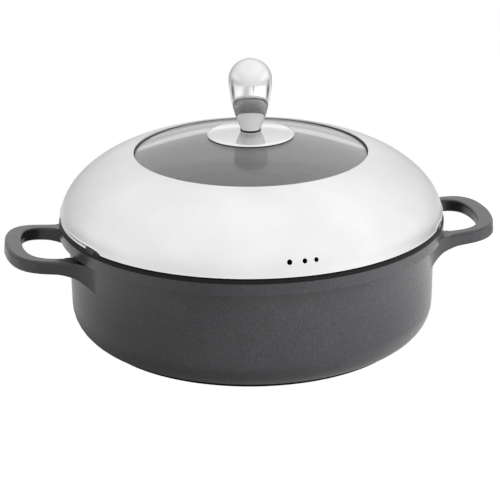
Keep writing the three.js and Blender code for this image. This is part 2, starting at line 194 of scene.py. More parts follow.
# Fineness: segments of a whole turn, steps along curves and round corners, and passes of a refinement
LARGE_SEGMENTS = 288
SMALL_SEGMENTS = 128
DRILL_SEGMENTS = 32
CORNER_STEPS = 4
GASKET_CORNER_STEPS = 3
HANDLE_CORNER_STEPS = 6
VESSEL_CORNER_STEPS = 10
ARM_STEPS = 24
BEND_STEPS = 36
ROOT_STEPS = 16
ROOT_PARTS = 6
ROOT_PASSES = 20
EASING_PASSES = 30
LUG_STEPS = 24
RELIEF_STEPS = 8
TAB_STEPS = 48
DOME_ROWS = 44
DOME_ROW_CROWDING = 0.85
DOME_INSIDE_STEPS = 200
DOME_HALVINGS = 40
DOME_SLOPE_STEP = 0.001
LIP_STEPS = 8
GLASS_STEPS = 40
PLATE_STEPS = 16
PLATE_EDGE_STEPS = 6
PLATE_EASE_STEPS = 8
KNOB_STEPS = 32
KNOB_CROWN_STEPS = 24

# Edges that turn by more than this stay sharp, and a smaller radius than this is on the axis
SMOOTH_ANGLE = math.radians(32)
ON_AXIS = 1e-6

# Where the dome's columns stand closer together, in degrees
VENT_ARC_START = 268
VENT_ARC_STEP = 0.25
VENT_ARC_COUNT = 53
NOTCH_END_STEP = 0.1
NOTCH_END_GROWTH = 0.3
NOTCH_END_COUNT = 13
ANGLE_DIGITS = 4

# The camera, as fitted to the photograph: angle round the pot from the front, place and lens. How far it
# sees is in metres.
VIEW_TURN = math.radians(10.5)
CAMERA_DISTANCE = 1439.0
CAMERA_HEIGHT = 586.6
CAMERA_SIDE = -1.25
CAMERA_PITCH = math.radians(20.09)
CAMERA_ROLL = math.radians(-0.49)
CAMERA_SIGHT = 100
LENS = 145.9
SENSOR = 36.0


# Curves in two dimensions
def held(share):
    """A share, held between 0 and 1."""
    return min(max(share, 0), 1)


def arc(centre, radii, start, end, steps):
    points = []
    for i in range(steps + 1):
        angle = math.radians(start + (end - start) * i / steps)
        points.append((centre[0] + radii[0] * math.cos(angle), centre[1] + radii[1] * math.sin(angle)))
    return points


def bezier(a, b, c, d, t):
    s = 1 - t
    return tuple(
        s**3 * a[k] + 3 * s * s * t * b[k] + 3 * s * t * t * c[k] + t**3 * d[k] for k in (0, 1)
    )


def rounded(corners, steps):
    """A closed outline whose corners (x, y, rounding) are turned into arcs."""
    outline = []
    count = len(corners)
    for i, (x, y, radius) in enumerate(corners):
        here = Vector((x, y))
        if radius <= 0:
            outline.append((x, y))
            continue
        before = (Vector(corners[i - 1][:2]) - here).normalized()
        after = (Vector(corners[(i + 1) % count][:2]) - here).normalized()
        half = before.angle(after) / 2
        middle = here + (before + after).normalized() * (radius / math.sin(half))
        start = here + before * (radius / math.tan(half)) - middle
        end = here + after * (radius / math.tan(half)) - middle
        sweep = start.angle_signed(end)
        for k in range(steps + 1):
            turned_by = start.copy()
            turned_by.rotate(Matrix.Rotation(-sweep * k / steps, 2))
            outline.append(tuple(middle + turned_by))
    return outline


def cap_height(crown, edge_radius, drop):
    """The height of a shallow round cap at a radius."""
    sphere = (edge_radius**2 + drop**2) / (2 * drop)
    return lambda radius: crown - sphere + math.sqrt(sphere**2 - radius**2)


def cap_points(height, start, end, steps):
    radii = [start + (end - start) * i / steps for i in range(steps + 1)]
    return [(radius, height(radius)) for radius in radii]


# Meshes
def turned(outline, segments):
    """A closed body turned about Z from a closed outline of (radius, height) points."""
    body = bmesh.new()
    rings = []
    for radius, height in outline:
        if radius < ON_AXIS:
            rings.append([body.verts.new((0, 0, height))] * segments)
            continue
        ring = []
        for k in range(segments):
            angle = 2 * math.pi * k / segments
            ring.append(body.verts.new((radius * math.cos(angle), radius * math.sin(angle), height)))
        rings.append(ring)
    for i, ring in enumerate(rings):
        join_rings(body, ring, rings[(i + 1) % len(rings)])
    return body


def join_rings(body, first, second):
    """Faces between two rings of points."""
    count = len(first)
    for k in range(count):
        n = (k + 1) % count
        corners = []
        for vert in (first[k], first[n], second[n], second[k]):
            if vert not in corners:
                corners.append(vert)
        if len(corners) > 2:
            body.faces.new(corners)


def swept(sections):
    """A closed body through a row of closed sections, with both ends filled."""
    body = bmesh.new()
    rings = [[body.verts.new(place) for place in section] for section in sections]
    for first, second in zip(rings, rings[1:]):
        join_rings(body, first, second)
    body.faces.new(rings[0])
    body.faces.new(rings[-1])
    return body


def as_object(name, body):
    """An object in metres from a body in millimetres."""
    bmesh.ops.recalc_face_normals(body, faces=body.faces[:])
    bmesh.ops.scale(body, vec=(MM, MM, MM), verts=body.verts[:])
    mesh = bpy.data.meshes.new(name)
    body.to_mesh(mesh)
    body.free()
    made = bpy.data.objects.new(name, mesh)
    bpy.context.scene.collection.objects.link(made)
    return made


def combine(base, others, operation):
    """Joins or cuts the base with other objects, which are then removed."""
    for other in others:
        step = base.modifiers.new(operation.lower(), "BOOLEAN")
        step.operation = operation
        step.solver = "EXACT"
        step.object = other
    apply_modifiers(base)
    for other in others:
        bpy.data.objects.remove(other)


def apply_modifiers(made):
    graph = bpy.context.evaluated_depsgraph_get()
    mesh = bpy.data.meshes.new_from_object(made.evaluated_get(graph))
    made.modifiers.clear()
    old = made.data
    made.data = mesh
    bpy.data.meshes.remove(old)
    mesh.name = made.name


def finish_piece(made, materials, body, slot, *nodes):
    """Shades a piece, gives it its materials and sets it on its body."""
    mesh = made.data
    mesh.polygons.foreach_set("use_smooth", [True] * len(mesh.polygons))
    mesh.set_sharp_from_angle(angle=SMOOTH_ANGLE)
    mesh.materials.clear()
    for material in materials:
        mesh.materials.append(material)
    even = made.modifiers.new("even_shading", "WEIGHTED_NORMAL")
    even.keep_sharp = True
    apply_modifiers(made)
    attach(made, body)
    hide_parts(*nodes)


def turned_piece(name, outline, segments, material, slot, replaced):
    """A piece of the lid that is turned from one outline."""
    made = as_object(name, turned(outline, segments))
    finish_piece(made, [material], "lid", slot, replaced)


# Shader nodes. The mix node's colour sockets go by number, because their names repeat.
FIRST_COLOUR = 6
SECOND_COLOUR = 7
MIXED_COLOUR = 2


def new_material(name):
    material = bpy.data.materials.new(name)
    material.use_nodes = True
    tree = material.node_tree
    return material, tree, tree.nodes["Principled BSDF"]


def node(tree, kind, **values):
    made = tree.nodes.new(kind)
    for key, value in values.items():
        setattr(made, key, value)
    return made


def noise(tree, vector, scale, detail, roughness):
    made = node(tree, "ShaderNodeTexNoise")
    made.inputs["Scale"].default_value = scale
    made.inputs["Detail"].default_value = detail
    made.inputs["Roughness"].default_value = roughness
    tree.links.new(vector, made.inputs["Vector"])
    return made.outputs["Fac"]


def spread(tree, value, span, result):
    """Maps a span of values onto a result at its two ends, and holds it beyond them."""
    made = node(tree, "ShaderNodeMapRange", clamp=True)
    for key, number in zip(("From Min", "From Max", "To Min", "To Max"), (*span, *result)):
        made.inputs[key].default_value = number
    tree.links.new(value, made.inputs["Value"])
    return made.outputs["Result"]


def mixed(tree, factor, first, second):
    """A colour between two, by a factor."""
    made = node(tree, "ShaderNodeMix", data_type="RGBA")
    tree.links.new(factor, made.inputs["Factor"])
    for number, colour in ((FIRST_COLOUR, first), (SECOND_COLOUR, second)):
        if isinstance(colour, tuple):
            made.inputs[number].default_value = (*colour, 1)
        else:
            tree.links.new(colour, made.inputs[number])
    return made.outputs[MIXED_COLOUR]


def bump(tree, shader, height, strength, depth):
    made = node(tree, "ShaderNodeBump")
    made.inputs["Strength"].default_value = strength
    made.inputs["Distance"].default_value = depth
    tree.links.new(height, made.inputs["Height"])
    tree.links.new(made.outputs["Normal"], shader.inputs["Normal"])


def place_in_object(tree):
    return node(tree, "ShaderNodeTexCoord").outputs["Object"]


def along(tree, vector, direction):
    """How far a place or a direction goes along another direction."""
    made = node(tree, "ShaderNodeVectorMath", operation="DOT_PRODUCT")
    tree.links.new(vector, made.inputs[0])
    made.inputs[1].default_value = direction
    return made.outputs["Value"]


def distance_from(tree, where, place):
    made = node(tree, "ShaderNodeVectorMath", operation="DISTANCE")
    tree.links.new(where, made.inputs[0])
    made.inputs[1].default_value = place
    return made.outputs["Value"]


def worked(tree, operation, first, second):
    """One step of arithmetic between two values or numbers."""
    made = node(tree, "ShaderNodeMath", operation=operation)
    for socket, value in zip(made.inputs, (first, second)):
        if isinstance(value, (int, float)):
            socket.default_value = value
        else:
            tree.links.new(value, socket)
    return made.outputs["Value"]


def plus(tree, first, *others):
    for other in others:
        first = worked(tree, "ADD", first, other)
    return first


def times(tree, first, *others):
    for other in others:
        first = worked(tree, "MULTIPLY", first, other)
    return first


def rest_of(tree, share):
    return worked(tree, "SUBTRACT", 1, share)


def either_way(tree, value):
    """A value without its sign."""
    return worked(tree, "ABSOLUTE", value, 0)


def camera_sees(tree):
    """One for what the camera sees directly, and zero in reflections and through the glass."""
    return node(tree, "ShaderNodeLightPath").outputs["Is Camera Ray"]


# Materials. A noise is its scale per metre, detail and roughness, a span is the part of it that a change
# runs over, and a bump is its strength and its depth in metres.
NOISE_SPAN = (0.3, 0.7)
CASTING_GRAIN = (1300, 2, 0.6)
CASTING_CLOUD = (60, 3, 0.5)
CASTING_CLOUD_SHARE = 0.08
CASTING_UNEVEN = 0.06
CASTING_BUMP = (0.125, 0.0002)
SPECK_SPAN = (0.5, 0.75)
SPECK_METAL = 0.19
COAT_ROUGHNESS = 0.2
RING_DETAIL = 2
RING_ROUGHNESS = 0.5
RING_STRENGTH = 0.1
RING_UNEVEN = 0.03
STEEL_CLOUD = (25, 3, 0.5)
STEEL_CLOUD_SPAN = (0.35, 0.65)
STEEL_CLOUD_TONE = 0.94
SILICONE_GRAIN = (900, 3, 0.6)
SILICONE_DARK = (0.6, 0.6, 0.62)
SILICONE_PALE = (1.4, 1.4, 1.44)
SILICONE_ROUGHNESS = (0.55, 0.75)
SILICONE_BUMP = (0.2, 0.0001)
GLASS_SMEAR = (18, 3, 0.5)
GLASS_DARK = (0.58, 0.585, 0.595)
GLASS_PALE = (0.62, 0.625, 0.635)
GLASS_ROUGHNESS = (0.0, 0.03)
GLASS_CLEARNESS = 0.955
GLASS_BENDING = 1.58


def coated_casting(name, dark, fleck, rough, shine, coat):
    """Dark aluminium with a fine metallic fleck, under a clear coat of a given weight."""
    material, tree, shader = new_material(name)
    where = place_in_object(tree)
    grain = noise(tree, where, *CASTING_GRAIN)
    cloud = noise(tree, where, *CASTING_CLOUD)
    specks = spread(tree, grain, SPECK_SPAN, (0, 1))
    base = mixed(tree, specks, dark, fleck)
    clouded = mixed(tree, spread(tree, cloud, NOISE_SPAN, (0, CASTING_CLOUD_SHARE)), base, fleck)
    roughness = spread(tree, grain, NOISE_SPAN, (rough + CASTING_UNEVEN, rough - CASTING_UNEVEN))
    tree.links.new(clouded, shader.inputs["Base Color"])
    tree.links.new(roughness, shader.inputs["Roughness"])
    tree.links.new(spread(tree, specks, (0, 1), (0, SPECK_METAL)), shader.inputs["Metallic"])
    shader.inputs["Specular IOR Level"].default_value = shine
    shader.inputs["Coat Weight"].default_value = coat
    shader.inputs["Coat Roughness"].default_value = COAT_ROUGHNESS
    bump(tree, shader, grain, *CASTING_BUMP)
    return material


def spun_steel(name, colour, rough, ring_scale, ring_depth, edge_tone):
    """Steel with fine rings left by the spinning tool, and a tone for where it is seen edge-on."""
    material, tree, shader = new_material(name)
    where = place_in_object(tree)
    rings = noise(tree, radius_and_height(tree, where), ring_scale, RING_DETAIL, RING_ROUGHNESS)
    cloud = noise(tree, where, *STEEL_CLOUD)
    darker = tuple(STEEL_CLOUD_TONE * part for part in colour)
    tone = mixed(tree, spread(tree, cloud, STEEL_CLOUD_SPAN, (0, 1)), colour, darker)
    roughness = spread(tree, rings, NOISE_SPAN, (rough - RING_UNEVEN, rough + RING_UNEVEN))
    tree.links.new(tone, shader.inputs["Base Color"])
    tree.links.new(roughness, shader.inputs["Roughness"])
    shader.inputs["Metallic"].default_value = 1
    shader.inputs["Specular Tint"].default_value = (edge_tone, edge_tone, edge_tone, 1)
    bump(tree, shader, rings, RING_STRENGTH, ring_depth)
    return material


def radius_and_height(tree, where):
    """The distance from the axis and the height of a place, as the first two parts of a vector."""
    split = node(tree, "ShaderNodeSeparateXYZ")
    tree.links.new(where, split.inputs["Vector"])
    flat = node(tree, "ShaderNodeCombineXYZ")
    tree.links.new(split.outputs["X"], flat.inputs["X"])
    tree.links.new(split.outputs["Y"], flat.inputs["Y"])
    radius = node(tree, "ShaderNodeVectorMath", operation="LENGTH")
    tree.links.new(flat.outputs["Vector"], radius.inputs[0])
    made = node(tree, "ShaderNodeCombineXYZ")
    tree.links.new(radius.outputs["Value"], made.inputs["X"])
    tree.links.new(split.outputs["Z"], made.inputs["Y"])
    return made.outputs["Vector"]


def soft_silicone(name, tone):
    material, tree, shader = new_material(name)
    where = place_in_object(tree)
    grain = noise(tree, where, *SILICONE_GRAIN)
    darker = tuple(part * tone for part in SILICONE_DARK)
    paler = tuple(part * tone for part in SILICONE_PALE)
    tree.links.new(mixed(tree, grain, darker, paler), shader.inputs["Base Color"])
    tree.links.new(spread(tree, grain, NOISE_SPAN, SILICONE_ROUGHNESS), shader.inputs["Roughness"])
    bump(tree, shader, grain, *SILICONE_BUMP)
    return material


def tinted_glass(name):
    material, tree, shader = new_material(name)
    where = place_in_object(tree)
    smear = noise(tree, where, *GLASS_SMEAR)
    tree.links.new(mixed(tree, smear, GLASS_DARK, GLASS_PALE), shader.inputs["Base Color"])
    tree.links.new(spread(tree, smear, NOISE_SPAN, GLASS_ROUGHNESS), shader.inputs["Roughness"])
    shader.inputs["Transmission Weight"].default_value = GLASS_CLEARNESS
    shader.inputs["IOR"].default_value = GLASS_BENDING
    return material


CASTING = coated_casting(
    "cast_coating", dark=(0.0113, 0.0113, 0.0133), fleck=(0.056, 0.056, 0.062),
    rough=0.3, shine=0.33, coat=0.22,
)
# Black coating for the inside of the pot. It is also painted shade on the rim under the lid's edge and on
# the foot's side.
LINING_AND_PAINTED_SHADE = coated_casting(
    "black_lining_and_painted_shade", dark=(0.003, 0.003, 0.003), fleck=(0.008, 0.008, 0.008),
    rough=0.5, shine=0.15, coat=0,
)
SATIN_STEEL = spun_steel(
    "satin_steel", colour=(0.70, 0.698, 0.696), rough=0.36,
    ring_scale=2600, ring_depth=0.00002, edge_tone=0.89,
)
POLISHED = spun_steel(
    "polished_steel", colour=(0.68, 0.678, 0.676), rough=0.08,
    ring_scale=1800, ring_depth=0.00001, edge_tone=0.8,
)
PLATE_STEEL = spun_steel(
    "plate_steel", colour=(0.68, 0.678, 0.676), rough=0.16,
    ring_scale=2200, ring_depth=0.00001, edge_tone=0.9,
)
BRIGHT_STEEL = spun_steel(
    "bright_steel", colour=(0.56, 0.56, 0.56), rough=0.3,
    ring_scale=3000, ring_depth=0.00002, edge_tone=0.9,
)
# Near-black silicone. On the neck washer it is also painted shade for the gap under the knob.
SILICONE = soft_silicone("dark_silicone", tone=0.014)
GASKET_SILICONE = soft_silicone("grey_silicone", tone=0.18)
GLASS = tinted_glass("grey_glass")


# The pot. A face is level where its normal goes up or down by more than this.
LEVEL = 0.5


def vessel():
    """The pot without its handles. A low flat foot stands under the rounded corner of its base."""
    inner_corner = BASE_CORNER - WALL_THICKNESS
    inner_foot = WALL_FOOT_RADIUS - WALL_THICKNESS
    outline = rounded([
        (0, FOOT_LIFT, 0),
        (WALL_FOOT_RADIUS, FOOT_LIFT, BASE_CORNER),
        (WALL_TOP_RADIUS, COLLAR_FOOT_Z, COLLAR_INNER_ROUND),
        (RIM_RADIUS, COLLAR_Z, COLLAR_EDGE_ROUND),
        (RIM_RADIUS, POT_HEIGHT, RIM_OUTER_ROUND),
        (MOUTH_RADIUS, POT_HEIGHT, RIM_INNER_ROUND),
        (inner_foot, FLOOR_THICKNESS, inner_corner),
        (0, FLOOR_THICKNESS, 0),
    ], VESSEL_CORNER_STEPS)
    foot = [(0, 0), (FOOT_RADIUS, 0), (FOOT_RADIUS, FOOT_HEIGHT)]
    above_foot = [
        (radius, z) for radius, z in outline if radius > FOOT_RADIUS or z > FLOOR_THICKNESS / 2
    ]
    return turned(foot + above_foot, LARGE_SEGMENTS)


def wall_distance(x, y):
    return math.hypot(x, y) - ROOT_WALL_RADIUS


def with_draft(x, y, z):
    """Moves a point of a handle out with the wall's slope, the more the closer it is to the wall."""
    slope = WALL_FOOT_RADIUS + WALL_DRAFT * (z / COLLAR_FOOT_Z) - ROOT_WALL_RADIUS
    near = held(1 - wall_distance(x, y) / OUTER_FILLET)
    scale = 1 + slope * near / math.hypot(x, y)
    return x * scale, y * scale, z


def arm_root(half_width, flare):
    """How far out an arm's edge starts, inside the wall."""
    root_x = ROOT_RADIUS
    for _ in range(ROOT_PASSES):
        root_y = half_width + flare * (LOOP_SHOULDER - root_x)
        root_x = math.sqrt(ROOT_RADIUS**2 - root_y**2)
    return root_x


def loop_side(tip, half_width, flare, fillet):
    """One side of a loop's edge in plan, from inside the wall to the tip. Each point is its place and the
    distance out that sets its height. The fillet leads the edge round into the wall."""
    root_x = arm_root(half_width, flare)
    side = []
    for i in range(ARM_STEPS):
        x = root_x + (LOOP_SHOULDER - root_x) * i / ARM_STEPS
        side.append([x, half_width + flare * (LOOP_SHOULDER - x)])
    start = (LOOP_SHOULDER, half_width)
    corner = (LOOP_SHOULDER + (tip - LOOP_SHOULDER) * LOOP_CORNER_RUN, LOOP_CORNER_SPREAD * half_width)
    near_tip = (tip, LOOP_TIP_SPREAD * half_width)
    for i in range(BEND_STEPS + 1):
        side.append(list(bezier(start, corner, near_tip, (tip, 0), i / BEND_STEPS)))
    for _ in range(EASING_PASSES):
        side = eased(side)
    return [led_into_wall(x, y, fillet) for x, y in finer_at_root(side)]


def eased(side):
    """An edge with each inner point drawn towards its two neighbours."""
    result = list(side)
    for i in range(1, len(side) - 1):
        result[i] = [(side[i - 1][k] + 2 * side[i][k] + side[i + 1][k]) / 4 for k in (0, 1)]
    return result


def finer_at_root(side):
    """Adds points to the first steps of an edge, where it meets the wall."""
    fine = []
    for a, b in zip(side[:ROOT_STEPS], side[1:]):
        for part in range(ROOT_PARTS):
            fine.append([a[k] + (b[k] - a[k]) * part / ROOT_PARTS for k in (0, 1)])
    return fine + side[ROOT_STEPS:]


def led_into_wall(x, y, fillet):
    """Moves a point of a handle's edge along the wall, more the closer it is to it."""
    near = min(max(abs(fillet) - wall_distance(x, y), 0), abs(fillet))
    run = abs(fillet) - math.sqrt(fillet**2 - near**2)
    angle = math.copysign(run / math.hypot(x, y), fillet)
    return (
        x * math.cos(angle) - y * math.sin(angle),
        x * math.sin(angle) + y * math.cos(angle),
        x,
    )


def handle_top(x):
    return HANDLE_TOP_Z + math.tan(HANDLE_TILT) * (x - RIM_RADIUS)


def handle_bottom(x):
    """The underside of a handle, which curves down into a web towards the wall."""
    start = RIM_RADIUS + WEB_START_REACH
    share = held((start - x) / WEB_LENGTH)
    drop = WEB_DEPTH * (1 - math.sqrt(1 - share**2))
    return handle_top(x) - HANDLE_THICKNESS / math.cos(HANDLE_TILT) - drop


def handle_section(outer, inner):
    """The rounded section of a handle between two points of its plan."""
    middle = [(outer[k] + inner[k]) / 2 for k in (0, 1)]
    away = math.hypot(*middle) - RIM_RADIUS
    share = held((away - ROOT_REACH) / ROOT_BLEND)
    edge = ROOT_EDGE_ROUND + (HANDLE_EDGE_ROUND - ROOT_EDGE_ROUND) * share
    width = math.dist(outer[:2], inner[:2])
    flat = rounded([
        (0, handle_bottom(outer[2]), HANDLE_EDGE_ROUND),
        (0, handle_top(outer[2]), edge),
        (width, handle_top(inner[2]), edge),
        (width, handle_bottom(inner[2]), HANDLE_EDGE_ROUND),
    ], HANDLE_CORNER_STEPS)
    lean_share = held(away / LOOP_SHOULDER_REACH)
    section = []
    for across, z in flat:
        x, y = (outer[k] + (inner[k] - outer[k]) * across / width for k in (0, 1))
        lean = (handle_top(x) - z) * math.sin(HANDLE_TILT) * lean_share
        section.append(with_draft(x + lean, y, z))
    return section


def handle(name, side):
    outer = loop_side(HANDLE_TIP, LOOP_HALF_WIDTH, ARM_FLARE, OUTER_FILLET)
    inner = loop_side(HANDLE_TIP - TIP_BAR_WIDTH, LOOP_HALF_WIDTH - ARM_WIDTH, -ARM_FLARE, -INNER_FILLET)
    pairs = list(zip(outer, inner))
    mirrored = [tuple((x, -y, out) for x, y, out in pair) for pair in reversed(pairs[:-1])]
    sections = [handle_section(a, b) for a, b in pairs + mirrored]
    turned_round = [[(side * x, side * y, z) for x, y, z in section] for section in sections]
    return as_object(name, swept(turned_round))


def notch_lift(y):
    """How far the lid's edge is lifted over a handle, at a distance from the handle's middle."""
    past = abs(y) - NOTCH_BEND
    if past <= 0:
        return NOTCH_HEIGHT
    if past >= NOTCH_END:
        return 0.0
    return NOTCH_HEIGHT * math.sqrt(1 - (past / NOTCH_END) ** 2)


def rim_bar(name, side, hand, rows):
    """A bar along the rim through rows of an angle and a section of (radius, height) points."""
    sections = []
    for angle, flat in rows:
        sections.append([
            (side * r * math.cos(angle), side * hand * r * math.sin(angle), z) for r, z in flat
        ])
    return as_object(name, swept(sections))


def rim_lug(name, side, hand):
    """A lug on the rim that fills one end of a notch."""
    inner_radius = LUG_OUTER_RADIUS - LUG_WIDTH
    far_y = NOTCH_HALF_WIDTH - LUG_CLEARANCE
    rows = []
    for i in range(LUG_STEPS + 1):
        y = far_y - LUG_LENGTH * i / LUG_STEPS
        past = max(y - NOTCH_BEND, 0) / (NOTCH_END - LUG_CLEARANCE)
        rise = (NOTCH_HEIGHT - LUG_CLEARANCE) * math.sqrt(max(1 - past**2, LUG_END_SHARE))
        top = LID_EDGE_Z + rise
        flat = rounded([
            (inner_radius, LUG_FOOT_Z, 0),
            (LUG_OUTER_RADIUS, LUG_FOOT_Z, 0),
            (LUG_OUTER_RADIUS, top, LUG_ROUND),
            (inner_radius, top, LUG_ROUND),
        ], CORNER_STEPS)
        rows.append((math.asin(y / LUG_OUTER_RADIUS), flat))
    return rim_bar(name, side, hand, rows)


def lug_relief(name, side, hand):
    """The room that one lug needs in the seat ring."""
    inner_radius = LUG_OUTER_RADIUS - LUG_WIDTH - LUG_CLEARANCE
    top = LID_EDGE_Z + NOTCH_HEIGHT
    flat = [(inner_radius, LUG_FOOT_Z), (RIM_RADIUS, LUG_FOOT_Z), (RIM_RADIUS, top), (inner_radius, top)]
    rows = []
    for i in range(RELIEF_STEPS + 1):
        y = NOTCH_HALF_WIDTH - (LUG_LENGTH + 2 * LUG_CLEARANCE) * i / RELIEF_STEPS
        rows.append((math.asin(y / LUG_OUTER_RADIUS), flat))
    return rim_bar(name, side, hand, rows)


def at_each_lug(make, name):
    return [make(f"{name}_{side}_{hand}", side, hand) for side in (1, -1) for hand in (1, -1)]


def is_lining_or_painted_shade(face):
    """Whether a face of the casting gets the black material: the lining inside the pot, and painted shade
    on the rim under the lid's edge and on the foot's side.
    """
    centre = face.center / MM
    radius = math.hypot(centre.x, centre.y)
    looks_in = face.normal.z > LEVEL or face.normal.x * centre.x + face.normal.y * centre.y < 0
    inside = looks_in and radius < MOUTH_RADIUS + RIM_INNER_ROUND and centre.z > FLOOR_THICKNESS / 2
    # The rim's rounded top under the lid's edge is painted black as the shade there.
    painted_shade_under_lid = POT_HEIGHT - RIM_OUTER_ROUND < centre.z < LID_EDGE_Z and radius < RIM_RADIUS
    # The foot's side is painted black as the shade where the pot meets the floor.
    painted_shade_at_foot = centre.z < FOOT_HEIGHT and abs(face.normal.z) < LEVEL
    return inside or painted_shade_under_lid or painted_shade_at_foot


def cast_pot():
    made = as_object("cast_pot", vessel())
    handles = [handle("right_handle", 1), handle("left_handle", -1)]
    combine(made, handles + at_each_lug(rim_lug, "lug"), "UNION")
    finish_piece(made, [CASTING, LINING_AND_PAINTED_SHADE], "pot", "cast_body", "pot_body")
    # The black material lines the inside and paints shade on the rim under the lid and on the foot's side.
    for face in made.data.polygons:
        face.material_index = 1 if is_lining_or_painted_shade(face) else 0


# The lid
def dome_at(t):
    """A point of the dome's outside, by the share along its curve from the edge to the window."""
    return bezier(
        (LID_EDGE_RADIUS, LID_EDGE_Z),
        (LID_EDGE_RADIUS, LID_EDGE_Z + DOME_WALL_LIFT),
        (WINDOW_RADIUS + DOME_CROWN_RUN, WINDOW_Z - DOME_CROWN_DROP),
        (WINDOW_RADIUS, WINDOW_Z),
        t,
    )


def dome_inside_at(t):
    """The sheet's inside, one thickness in from its outside."""
    low = dome_at(max(t - DOME_SLOPE_STEP, 0))
    high = dome_at(min(t + DOME_SLOPE_STEP, 1))
    heading = Vector((high[0] - low[0], high[1] - low[1])).normalized()
    here = dome_at(t)
    return here[0] - heading.y * STEEL, here[1] + heading.x * STEEL


def dome_share(z):
    """The share along the dome's curve at a height, by halving."""
    low = 0.0
    high = 1.0
    for _ in range(DOME_HALVINGS):
        middle = (low + high) / 2
        if dome_at(middle)[1] < z:
            low = middle
        else:
            high = middle
    return (low + high) / 2


DOME_INSIDE = [dome_inside_at(i / DOME_INSIDE_STEPS) for i in range(DOME_INSIDE_STEPS + 1)]


def under_dome(radius):
    """The height of the dome's inside at a radius."""
    for outer, inner in zip(DOME_INSIDE, DOME_INSIDE[1:]):
        if inner[0] <= radius <= outer[0]:
            share = (outer[0] - radius) / (outer[0] - inner[0])
            return outer[1] + (inner[1] - outer[1]) * share
    raise ValueError(radius)


def dome_angles():
    """Angles round the lid, closer together at the vents and at the notches' ends."""
    angles = [360 * k / LARGE_SEGMENTS for k in range(LARGE_SEGMENTS)]
    angles += [VENT_ARC_START + VENT_ARC_STEP * k for k in range(VENT_ARC_COUNT)]
    end = math.degrees(NOTCH_HALF_ANGLE)
    for middle in (0, 180):
        for hand in (1, -1):
            for k in range(NOTCH_END_COUNT):
                back = NOTCH_END_STEP * k * (1 + NOTCH_END_GROWTH * k)
                angles.append((middle + hand * (end - back)) % 360)
    distinct = {round(angle, ANGLE_DIGITS) for angle in angles}
    return [math.radians(angle) for angle in sorted(distinct)]


def dome_section(edge_z):
    """The sheet's closed section above an edge height: outside, rolled hem, inside, opening."""
    start = dome_share(edge_z)
    lip_round = HEM_THICKNESS / 2
    lip_z = edge_z + lip_round
    outside = []
    for i in range(DOME_ROWS + 1):
        radius, z = dome_at(1 - (1 - start) * (i / DOME_ROWS) ** DOME_ROW_CROWDING)
        flare = HEM_FLARE * math.exp(-(z - edge_z) / HEM_FLARE_HEIGHT)
        outside.append((radius + flare, max(z, lip_z)))
    lip_radius = outside[-1][0] - lip_round
    lip = arc((lip_radius, lip_z), (lip_round, lip_round), 0, -180, LIP_STEPS)
    hem_radius = dome_at(start)[0] - HEM_THICKNESS
    inside = [(min(lip_radius - lip_round, hem_radius), edge_z + HEM_HEIGHT)]
    hem_share = dome_share(edge_z + HEM_HEIGHT + STEEL)
    for i in range(DOME_ROWS + 1):
        inside.append(dome_inside_at(hem_share + (1 - hem_share) * i / DOME_ROWS))
    return outside + lip[1:] + inside


def vent_drill(name, angle, diameter):
    drill = bmesh.new()
    turn = Matrix.Rotation(math.radians(angle), 4, "Z")
    lay = Matrix.Rotation(math.pi / 2, 4, "X")
    out = Matrix.Translation((0, -LID_EDGE_RADIUS, LID_EDGE_Z + VENT_HEIGHT))
    bmesh.ops.create_cone(
        drill, cap_ends=True, segments=DRILL_SEGMENTS, radius1=diameter / 2, radius2=diameter / 2,
        depth=VENT_DRILL, matrix=turn @ out @ lay,
    )
    return as_object(name, drill)


def lid_dome():
    body = bmesh.new()
    columns = []
    for angle in dome_angles():
        y = LID_EDGE_RADIUS * math.sin(angle)
        section = dome_section(LID_EDGE_Z + notch_lift(y))
        columns.append([
            body.verts.new((r * math.cos(angle), r * math.sin(angle), z)) for r, z in section
        ])
    for k, column in enumerate(columns):
        join_rings(body, column, columns[(k + 1) % len(columns)])
    made = as_object("steel_dome", body)
    drills = [vent_drill(f"drill_{i}", *vent) for i, vent in enumerate(VENTS)]
    combine(made, drills, "DIFFERENCE")
    finish_piece(made, [SATIN_STEEL], "lid", "lid_steel", "lid_dome")


def seat_ring():
    outer = MOUTH_RADIUS - SKIRT_CLEARANCE
    inner = outer - STEEL
    flange = HEM_RADIUS - STEEL_FIT
    top = LID_EDGE_Z + STEEL
    lip_top = LID_EDGE_Z + SEAT_LIP
    outline = rounded([
        (inner, LID_EDGE_Z - SKIRT_DEPTH, SHEET_EDGE),
        (outer, LID_EDGE_Z - SKIRT_DEPTH, SHEET_EDGE),
        (outer, LID_EDGE_Z, SHEET_EDGE),
        (flange, LID_EDGE_Z, SHEET_CORNER),
        (flange, lip_top, SHEET_EDGE),
        (flange - STEEL, lip_top, SHEET_EDGE),
        (flange - STEEL, top, SHEET_EDGE),
        (inner, top, SHEET_BEND),
    ], CORNER_STEPS)
    made = as_object("seat_ring", turned(outline, LARGE_SEGMENTS))
    combine(made, at_each_lug(lug_relief, "relief"), "DIFFERENCE")
    combine(made, [notch_tab("right_tab", 1), notch_tab("left_tab", -1)], "UNION")
    finish_piece(made, [SATIN_STEEL], "lid", "lid_steel", "lid_seat_ring")


def notch_tab(name, side):
    """The sloping edge of the seat ring that shows in a notch, between its two lugs."""
    half_width = NOTCH_HALF_WIDTH - LUG_LENGTH - 3 * LUG_CLEARANCE
    half_angle = math.asin(half_width / LID_EDGE_RADIUS)
    foot_z = LID_EDGE_Z + LID_SEAT_GAP / 2
    inner = HEM_RADIUS - 2 * STEEL
    flat = rounded([
        (inner, foot_z, 0),
        (LID_EDGE_RADIUS, foot_z, TAB_EDGE),
        (LID_EDGE_RADIUS - TAB_LEAN, foot_z + TAB_HEIGHT, SHEET_EDGE),
        (inner, foot_z + TAB_HEIGHT, 0),
    ], CORNER_STEPS)
    rows = [(half_angle * (2 * i / TAB_STEPS - 1), flat) for i in range(TAB_STEPS + 1)]
    return rim_bar(name, side, 1, rows)


